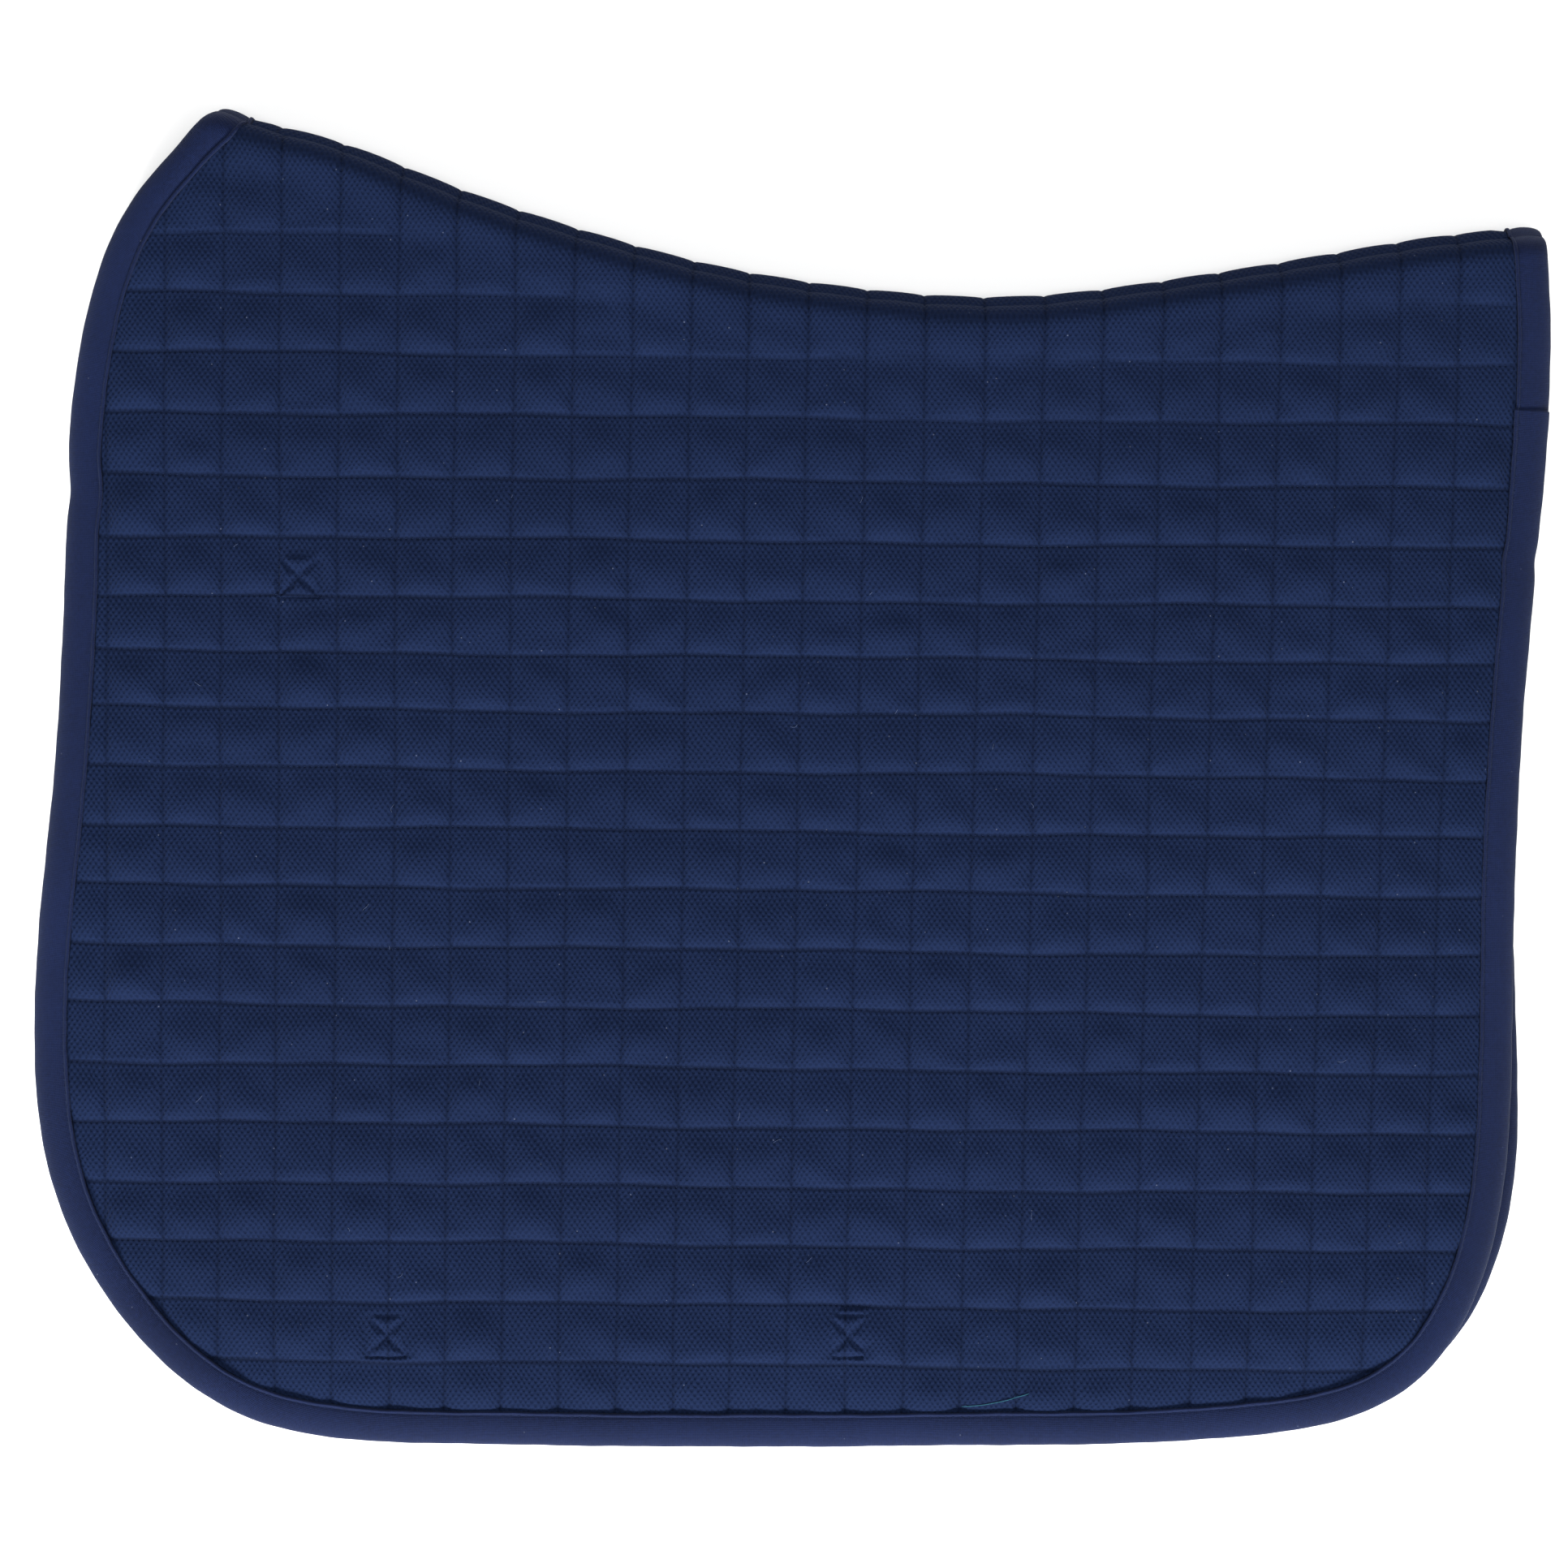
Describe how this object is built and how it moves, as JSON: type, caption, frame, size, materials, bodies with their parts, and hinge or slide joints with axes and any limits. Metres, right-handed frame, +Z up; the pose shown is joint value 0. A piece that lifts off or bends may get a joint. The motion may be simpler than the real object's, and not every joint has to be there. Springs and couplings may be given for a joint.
{
  "type": "saddle pad",
  "caption": "Navy quilted cotton saddle pad folded in half along its contoured spine, with bound edges, girth loops and hook-and-loop keeper straps inside the fold.",
  "frame": {"origin": "centre of the bounding box of the folded pad, at the surface that it lies on", "axes": "+X from the shoulder edge to the loin edge, +Y from the hem to the spine, +Z up through the two folded halves"},
  "size_m": [0.6567, 0.5799, 0.03],
  "materials": {
    "lining_cotton": "matt honeycomb-weave quilted cotton",
    "cover_cotton": "matt twill quilted cotton",
    "wadding": "lofted polyester wadding",
    "binding_tape": "fine plain-weave tape",
    "thread": "spun polyester thread",
    "webbing": "woven ribbed webbing",
    "hook_tape": "hook fastener tape",
    "loop_tape": "brushed loop fastener tape"
  },
  "bodies": {
    "left_half": {"left_lining": "lining_cotton", "left_cover": "cover_cotton", "left_wadding": "wadding", "left_edge_binding": "binding_tape", "left_binding_thread": "thread", "left_quilting_thread": "thread", "left_girth_strap": "webbing", "left_girth_stitching": "thread", "left_keeper_stitching": "thread", "left_keeper_base": "webbing", "spine_tape": "binding_tape", "spine_seam_thread": "thread"},
    "right_half": {"right_lining": "lining_cotton", "right_cover": "cover_cotton", "right_wadding": "wadding", "right_edge_binding": "binding_tape", "right_binding_thread": "thread", "right_quilting_thread": "thread", "right_girth_strap": "webbing", "right_girth_stitching": "thread", "right_keeper_stitching": "thread", "right_keeper_base": "webbing"},
    "left_keeper": {"left_keeper_strap": "webbing", "left_keeper_hook_tape": "hook_tape", "left_keeper_loop_tape": "loop_tape"},
    "right_keeper": {"right_keeper_strap": "webbing", "right_keeper_hook_tape": "hook_tape", "right_keeper_loop_tape": "loop_tape"}
  },
  "joints": [
    {"name": "spine_fold", "type": "hinge", "parent": "left_half", "child": "right_half", "pos_m": [0.03497, 0.26809, 0.015], "axis": [-0.9964, 0.0848, 0], "range_deg": [0, 90], "deforming": ["spine_tape", "spine_seam_thread"]},
    {"name": "left_keeper_lift", "type": "hinge", "parent": "left_half", "child": "left_keeper", "pos_m": [-0.2125, 0.0758, 0.0102], "axis": [-1, 0, 0], "range_deg": [0, 72]},
    {"name": "right_keeper_lift", "type": "hinge", "parent": "right_half", "child": "right_keeper", "pos_m": [-0.2125, 0.0758, 0.0198], "axis": [-1, 0, 0], "range_deg": [-72, 0]}
  ],
  "couplings": [
    {"joint": "left_keeper_lift", "follows": "spine_fold", "ratio": 0.8},
    {"joint": "right_keeper_lift", "follows": "spine_fold", "ratio": -0.8}
  ]
}
